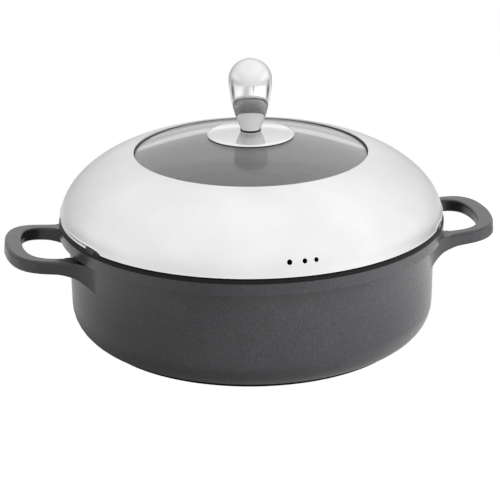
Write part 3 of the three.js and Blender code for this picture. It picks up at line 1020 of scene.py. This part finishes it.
# The window
GLASS_RADIUS = WINDOW_RADIUS + GLASS_OVERLAP
GLASS_AT_WINDOW_Z = DOME_INSIDE[-1][1] - GASKET_LIP - 2 * SOFT_FIT
GLASS_CROWN_Z = GLASS_AT_WINDOW_Z + GLASS_RISE
glass_top = cap_height(GLASS_CROWN_Z, WINDOW_RADIUS, GLASS_RISE)
GROMMET_RADIUS = SCREW_HOLE + GROMMET_SLEEVE
GLASS_HOLE = GROMMET_RADIUS + SOFT_FIT
CHANNEL_RADIUS = GLASS_RADIUS + SOFT_FIT
GASKET_RADIUS = CHANNEL_RADIUS + GASKET_WALL


def glass_under(radius):
    return glass_top(radius) - GLASS_THICKNESS


def gasket_under(radius):
    return glass_under(radius) - SOFT_FIT - GASKET_LIP


def window():
    outline = cap_points(glass_under, GLASS_HOLE, GLASS_RADIUS, GLASS_STEPS)
    outline += cap_points(glass_top, GLASS_RADIUS, GLASS_HOLE, GLASS_STEPS)
    turned_piece("window_glass", outline, LARGE_SEGMENTS, GLASS, "tinted_glass", "glass_window")


def gasket():
    inner = WINDOW_RADIUS + GASKET_RECESS
    under = GLASS_RADIUS - GASKET_UNDER_REACH
    outline = rounded([
        (under, gasket_under(under), SOFT_TONGUE),
        (GASKET_RADIUS, gasket_under(GLASS_RADIUS), SOFT_HEEL),
        (GASKET_RADIUS, under_dome(GASKET_RADIUS) - SOFT_FIT, SOFT_CORNER),
        (inner, under_dome(inner) - SOFT_FIT, SOFT_EDGE),
        (inner, glass_top(inner) + SOFT_FIT, SOFT_EDGE),
        (CHANNEL_RADIUS, glass_top(GLASS_RADIUS) + SOFT_FIT, 0),
        (CHANNEL_RADIUS, glass_under(GLASS_RADIUS) - SOFT_FIT, 0),
        (under, glass_under(under) - SOFT_FIT, SOFT_TONGUE),
    ], GASKET_CORNER_STEPS)
    turned_piece("window_gasket", outline, LARGE_SEGMENTS, GASKET_SILICONE, "silicone", "glass_gasket")


def retaining_ring():
    riser_inner = GASKET_RADIUS + STEEL_FIT
    riser_outer = riser_inner + STEEL
    flange = riser_outer + RETAINER_FLANGE
    leg = GASKET_RADIUS - RETAINER_LEG
    leg_top = gasket_under(GLASS_RADIUS) - SOFT_FIT
    leg_inner_top = gasket_under(leg) - SOFT_FIT
    outline = rounded([
        (leg, leg_inner_top - STEEL, SHEET_EDGE),
        (riser_outer, leg_top - STEEL, SHEET_WIDE_BEND),
        (riser_outer, under_dome(riser_outer) - STEEL_FIT - STEEL, SHEET_EDGE),
        (flange, under_dome(flange) - STEEL_FIT - STEEL, SHEET_EDGE),
        (flange, under_dome(flange) - STEEL_FIT, SHEET_EDGE),
        (riser_inner, under_dome(riser_inner) - STEEL_FIT, SHEET_BEND),
        (riser_inner, leg_top, SHEET_CORNER),
        (leg, leg_inner_top, SHEET_EDGE),
    ], CORNER_STEPS)
    turned_piece(
        "retaining_ring", outline, LARGE_SEGMENTS, BRIGHT_STEEL, "lid_steel", "glass_retaining_ring",
    )


# The knob's stack, from the glass upwards
PLATE_UNDER_CROWN_Z = GLASS_CROWN_Z + PLATE_SEAL_THICKNESS + 2 * SOFT_FIT
plate_under = cap_height(PLATE_UNDER_CROWN_Z, PLATE_RADIUS, PLATE_DROP)
NECK_WASHER_Z = plate_under(SCREW_HOLE) + PLATE_THICKNESS + STACK_GAP
NECK_WASHER_TOP_Z = NECK_WASHER_Z + NECK_WASHER_THICKNESS
KNOB_FOOT_Z = NECK_WASHER_TOP_Z + STACK_GAP


def plate_top(radius):
    return plate_under(radius) + PLATE_THICKNESS


def plate_seal():
    outline = rounded([
        (SCREW_HOLE, glass_top(SCREW_HOLE) + SOFT_FIT, 0),
        (PLATE_SEAL_RADIUS, glass_top(PLATE_SEAL_RADIUS) + SOFT_FIT, SOFT_EDGE),
        (PLATE_SEAL_RADIUS, plate_under(PLATE_SEAL_RADIUS) - SOFT_FIT, SOFT_EDGE),
        (SCREW_HOLE, plate_under(SCREW_HOLE) - SOFT_FIT, 0),
    ], CORNER_STEPS)
    turned_piece("knob_seal", outline, SMALL_SEGMENTS, SILICONE, "silicone", "plate_seal")


def knob_plate():
    """The plate, a shallow cap with a rounded edge that eases into its top."""
    inner = PLATE_RADIUS - PLATE_EDGE_ROUND
    edge_z = plate_under(inner) + PLATE_EDGE_ROUND
    edge_radii = (PLATE_EDGE_ROUND, PLATE_EDGE_ROUND)
    outline = cap_points(plate_under, SCREW_HOLE, inner, PLATE_STEPS)[:-1]
    outline += arc((inner, edge_z), edge_radii, -90, PLATE_EDGE_END, PLATE_EDGE_STEPS)
    ease_start = outline[-1]
    ease_bend = (inner - PLATE_EASE / 3, plate_top(inner))
    ease_radius = PLATE_RADIUS - PLATE_EASE
    ease_end = (ease_radius, plate_top(ease_radius))
    for i in range(1, PLATE_EASE_STEPS):
        outline.append(bezier(ease_start, ease_bend, ease_end, ease_end, i / PLATE_EASE_STEPS))
    outline += cap_points(plate_top, ease_radius, SCREW_HOLE, PLATE_STEPS)
    turned_piece("round_plate", outline, LARGE_SEGMENTS, PLATE_STEEL, "polished_steel", "knob_plate")


def ring_outline(radius, low, high, edge):
    """The outline of a plain ring round the screw."""
    return rounded([
        (SCREW_HOLE, low, 0),
        (radius, low, edge),
        (radius, high, edge),
        (SCREW_HOLE, high, 0),
    ], CORNER_STEPS)


def neck_washer():
    # A thin washer under the knob. Its near-black silicone is painted shade for the gap between the knob
    # and the plate.
    outline = ring_outline(NECK_WASHER_RADIUS, NECK_WASHER_Z, NECK_WASHER_TOP_Z, NECK_WASHER_EDGE)
    turned_piece("neck_ring_painted_shade", outline, SMALL_SEGMENTS, SILICONE, "silicone", "neck_washer")


def knob():
    """The knob, a pear shape on a narrow neck, with a blind hole for the screw."""
    neck_top = KNOB_FOOT_Z + NECK_HEIGHT
    crown = neck_top + KNOB_BODY_HEIGHT
    bore_top = KNOB_FOOT_Z + SCREW_REACH + 2 * SCREW_RADIUS
    neck = (NECK_RADIUS, neck_top)
    flare = (KNOB_FLARE_RADIUS, neck_top + KNOB_FLARE_HEIGHT)
    shoulder = (KNOB_SHOULDER_RADIUS, crown - KNOB_SHOULDER_DROP)
    widest = (KNOB_RADIUS, crown)
    outline = [(SCREW_HOLE, KNOB_FOOT_Z), (NECK_RADIUS, KNOB_FOOT_Z)]
    for i in range(KNOB_STEPS):
        outline.append(bezier(neck, flare, shoulder, widest, i / KNOB_STEPS))
    outline += arc((0, crown), (KNOB_RADIUS, KNOB_CROWN_HEIGHT), 0, 90, KNOB_CROWN_STEPS)[:-1]
    outline += [(0, crown + KNOB_CROWN_HEIGHT), (0, bore_top), (SCREW_HOLE, bore_top)]
    turned_piece("steel_knob", outline, SMALL_SEGMENTS, POLISHED, "polished_steel", "knob")


# The fastening under the glass
GROMMET_Z = glass_under(GROMMET_FLANGE_RADIUS) - SOFT_FIT
GROMMET_LOW_Z = GROMMET_Z - GROMMET_FLANGE_THICKNESS
BACKING_Z = GROMMET_LOW_Z - STACK_GAP


def grommet():
    outline = rounded([
        (SCREW_HOLE, GROMMET_LOW_Z, 0),
        (GROMMET_FLANGE_RADIUS, GROMMET_LOW_Z, SOFT_CORNER),
        (GROMMET_FLANGE_RADIUS, GROMMET_Z, SOFT_CORNER),
        (GROMMET_RADIUS, GROMMET_Z, 0),
        (GROMMET_RADIUS, glass_top(GLASS_HOLE), 0),
        (SCREW_HOLE, glass_top(GLASS_HOLE), 0),
    ], CORNER_STEPS)
    turned_piece("soft_grommet", outline, SMALL_SEGMENTS, SILICONE, "silicone", "screw_grommet")


def backing_washer():
    outline = ring_outline(BACKING_RADIUS, BACKING_Z - BACKING_THICKNESS, BACKING_Z, BACKING_EDGE)
    turned_piece("wide_washer", outline, SMALL_SEGMENTS, BRIGHT_STEEL, "hardware", "backing_washer")


def carry_over(name, material):
    """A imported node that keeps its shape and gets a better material."""
    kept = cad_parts[name]
    kept.data.materials.clear()
    kept.data.materials.append(material)


def build_pieces():
    cast_pot()
    lid_dome()
    seat_ring()
    window()
    gasket()
    retaining_ring()
    plate_seal()
    knob_plate()
    neck_washer()
    knob()
    grommet()
    backing_washer()
    carry_over("lock_washer", BRIGHT_STEEL)
    carry_over("knob_screw", BRIGHT_STEEL)


# The studio. Its directions are the view's: to the right, ahead (away from the front) and up. They are
# fixed to the pot and don't follow the camera to other places.
VIEW_RIGHT = Vector((math.cos(VIEW_TURN), -math.sin(VIEW_TURN), 0))
VIEW_AHEAD = Vector((math.sin(VIEW_TURN), math.cos(VIEW_TURN), 0))
UP = Vector((0, 0, 1))
WHITE = (1, 1, 1, 1)
BLACK = (0, 0, 0, 1)

# The floor, in metres. Each ramp is a span, mostly from the pot's middle, and the light or shade at its
# two ends.
FLOOR_RADIUS = 0.62
FLOOR_GAP = 0.0001
SHADE_SHIFT = -0.012
SHADE_CLOSE = ((0.112, 0.16), (0.05, 0.8))
SHADE_WIDE = ((0.2, 0.28), (0, 0.2))
MAIN_LIGHT = ((-0.15, 0), (0.87, 1))
RIGHT_LIGHT = ((-0.1, 0.1), (0, 0.68))
RIGHT_LIGHT_BACK = ((-0.12, 0.02), (1, 0.3))
FAR_SIDES_LIGHT = ((0.2, 0.34), (0, 0.6))
BEHIND_SHADE = ((0.1, 0.25), (0, 0.6))
BEHIND_SHADE_WIDTH = ((0.14, 0.2), (1, 0))
FRONT_LIGHT = ((-0.36, -0.2), (0, 0.15))
FRONT_LIGHT_BACK = ((-0.2, -0.12), (1, 0))
FAR_LIGHT = ((0.4, FLOOR_RADIUS), (0, 1))
LINE_TURN = math.radians(16)
LINE_SHADE = ((0.01, 0.02), (0.85, 0))
LINE_BACK = ((-0.4, -0.34), (1, 0))
PATCH_ASIDE = 0.43
PATCH_AHEAD = 0.2
PATCH_SHADE = ((0.06, 0.2), (0.2, 1))

# The walls. Each ramp is a span of how far a direction goes ahead, aside or up, and the light or shade at
# its two ends.
FRONT_WALL = ((-1, 0), (1.12, 1))
BACK_WALL = ((0.5, 1), (1, 0.8))
RIGHT_WALL = 0.13
CEILING = 1.33
CEILING_RISE = ((0, 0.75), (0, 1))
SIDE_GLOW = ((0.75, 0.95), (0, 0.22))
SIDE_GLOW_FOOT = ((0, 0.08), (0, 1))
SIDE_GLOW_TOP = ((0.3, 0.5), (1, 0))
LOW_DOWN = ((-0.14, -0.02), (1, 0))
LOW_SIDES = ((0.65, 0.9), (0, 0.4))
LOW_SIDES_BACK = ((0, 0.3), (0, 1))
LOW_BACK = ((0.88, 0.96), (0, 0.65))
STRIP_FOOT = ((0.08, 0.15), (0, 0.6))
STRIP_TOP = ((0.21, 0.23), (1, 0))
STRIP_BACK = ((0.95, 0.965), (0, 1))

# The softbox, in metres and watts
SOFTBOX_DIRECTION = VIEW_RIGHT - VIEW_AHEAD * 0.25 + UP * 0.55
SOFTBOX_AIM = UP * 0.08
SOFTBOX_DISTANCE = 1.6
SOFTBOX_SIZE = 1.2
SOFTBOX_POWER = 50


def floor():
    """A round sheet just under the pot."""
    disc = bmesh.new()
    bmesh.ops.create_circle(disc, cap_ends=True, segments=LARGE_SEGMENTS, radius=FLOOR_RADIUS)
    mesh = bpy.data.meshes.new("studio_floor")
    disc.to_mesh(mesh)
    disc.free()
    mesh.materials.append(floor_material())
    made = bpy.data.objects.new("studio_floor", mesh)
    made.location.z = -FLOOR_GAP
    bpy.context.scene.collection.objects.link(made)


def floor_material():
    """White to the camera, lit and shaded in what the pot reflects, and clear from below."""
    material, tree, shader = new_material("pale_floor")
    shown = worked(tree, "MAXIMUM", floor_light(tree), camera_sees(tree))
    from_below = node(tree, "ShaderNodeNewGeometry").outputs["Backfacing"]
    tree.links.new(shown, shader.inputs["Emission Strength"])
    tree.links.new(rest_of(tree, from_below), shader.inputs["Alpha"])
    shader.inputs["Emission Color"].default_value = WHITE
    shader.inputs["Base Color"].default_value = BLACK
    shader.inputs["Specular IOR Level"].default_value = 0
    return material


def floor_light(tree):
    """The floor's light as the pot reflects it: dim close to the pot and behind it, brighter on the right
    and at the far sides, with a dark line far in front and a dim patch at the back of each side."""
    where = place_in_object(tree)
    right = along(tree, where, VIEW_RIGHT)
    ahead = along(tree, where, VIEW_AHEAD)
    aside = either_way(tree, right)
    from_pot = distance_from(tree, where, VIEW_RIGHT * SHADE_SHIFT)
    round_pot = plus(tree, spread(tree, from_pot, *SHADE_CLOSE), spread(tree, from_pot, *SHADE_WIDE))
    to_right = times(tree, spread(tree, right, *RIGHT_LIGHT), spread(tree, ahead, *RIGHT_LIGHT_BACK))
    sides = plus(tree, spread(tree, right, *MAIN_LIGHT), to_right, spread(tree, aside, *FAR_SIDES_LIGHT))
    behind = times(tree, spread(tree, ahead, *BEHIND_SHADE), spread(tree, aside, *BEHIND_SHADE_WIDTH))
    in_front = times(tree, spread(tree, ahead, *FRONT_LIGHT), spread(tree, ahead, *FRONT_LIGHT_BACK))
    near = plus(tree, in_front, times(tree, round_pot, sides, rest_of(tree, behind)))
    far = spread(tree, distance_from(tree, where, (0, 0, 0)), *FAR_LIGHT)
    off_line = along(tree, where, VIEW_RIGHT * math.cos(LINE_TURN) + VIEW_AHEAD * math.sin(LINE_TURN))
    line = spread(tree, either_way(tree, off_line), *LINE_SHADE)
    line = times(tree, line, spread(tree, ahead, *LINE_BACK))
    light = times(tree, plus(tree, times(tree, near, rest_of(tree, far)), far), rest_of(tree, line))
    for side in (-1, 1):
        from_patch = distance_from(tree, where, VIEW_RIGHT * PATCH_ASIDE * side + VIEW_AHEAD * PATCH_AHEAD)
        light = times(tree, light, spread(tree, from_patch, *PATCH_SHADE))
    return light


def softbox():
    """A square soft light that faces the pot from the right. Only matt surfaces show it."""
    towards = SOFTBOX_DIRECTION.normalized()
    light = bpy.data.lights.new("right_softbox", "AREA")
    light.shape = "SQUARE"
    light.size = SOFTBOX_SIZE
    light.energy = SOFTBOX_POWER
    lamp = bpy.data.objects.new("right_softbox", light)
    lamp.location = SOFTBOX_AIM + towards * SOFTBOX_DISTANCE
    lamp.rotation_mode = "QUATERNION"
    lamp.rotation_quaternion = (-towards).to_track_quat("-Z", "Y")
    lamp.visible_glossy = False
    lamp.visible_transmission = False
    bpy.context.scene.collection.objects.link(lamp)


def wall_light(tree):
    """The walls' light as the pot reflects it: brightest overhead, and brighter in front than behind and
    on the right than on the left. Both sides have a glow, the back is dim low down, and a bright strip
    runs low along the back wall."""
    where = node(tree, "ShaderNodeTexCoord").outputs["Generated"]
    right = along(tree, where, VIEW_RIGHT)
    ahead = along(tree, where, VIEW_AHEAD)
    up = along(tree, where, UP)
    aside = either_way(tree, right)
    low_walls = times(tree, spread(tree, ahead, *FRONT_WALL), spread(tree, ahead, *BACK_WALL))
    lift = times(tree, spread(tree, up, *CEILING_RISE), worked(tree, "SUBTRACT", CEILING, low_walls))
    glow = times(tree, spread(tree, aside, *SIDE_GLOW), spread(tree, up, *SIDE_GLOW_FOOT))
    glow = times(tree, glow, spread(tree, up, *SIDE_GLOW_TOP))
    walls = plus(tree, low_walls, glow, lift, times(tree, right, RIGHT_WALL))
    low_sides = times(tree, spread(tree, aside, *LOW_SIDES), spread(tree, ahead, *LOW_SIDES_BACK))
    low_shade = times(
        tree, spread(tree, up, *LOW_DOWN), plus(tree, low_sides, spread(tree, ahead, *LOW_BACK)),
    )
    strip = times(
        tree, spread(tree, up, *STRIP_FOOT), spread(tree, up, *STRIP_TOP), spread(tree, ahead, *STRIP_BACK),
    )
    return plus(tree, times(tree, walls, rest_of(tree, low_shade)), strip)


def studio_world():
    """Soft walls, white to the camera."""
    world = bpy.data.worlds.new("studio")
    world.use_nodes = True
    tree = world.node_tree
    background = tree.nodes["Background"]
    background.inputs["Color"].default_value = WHITE
    shown = worked(tree, "MAXIMUM", wall_light(tree), camera_sees(tree))
    tree.links.new(shown, background.inputs["Strength"])
    bpy.context.scene.world = world


def camera():
    data = bpy.data.cameras.new("camera")
    data.lens = LENS
    data.sensor_width = SENSOR
    data.clip_end = CAMERA_SIGHT
    made = bpy.data.objects.new("camera", data)
    turn = Matrix.Rotation(-VIEW_TURN, 3, "Z")
    made.location = turn @ (Vector((CAMERA_SIDE, -CAMERA_DISTANCE, CAMERA_HEIGHT)) * MM)
    forward = turn @ Vector((0, math.cos(CAMERA_PITCH), -math.sin(CAMERA_PITCH)))
    level = forward.to_track_quat("-Z", "Y").to_matrix()
    made.rotation_euler = (level @ Matrix.Rotation(CAMERA_ROLL, 3, "Z")).to_euler()
    bpy.context.scene.collection.objects.link(made)
    bpy.context.scene.camera = made


build_pieces()
floor()
softbox()
studio_world()
camera()
bpy.context.scene.view_settings.view_transform = "Standard"
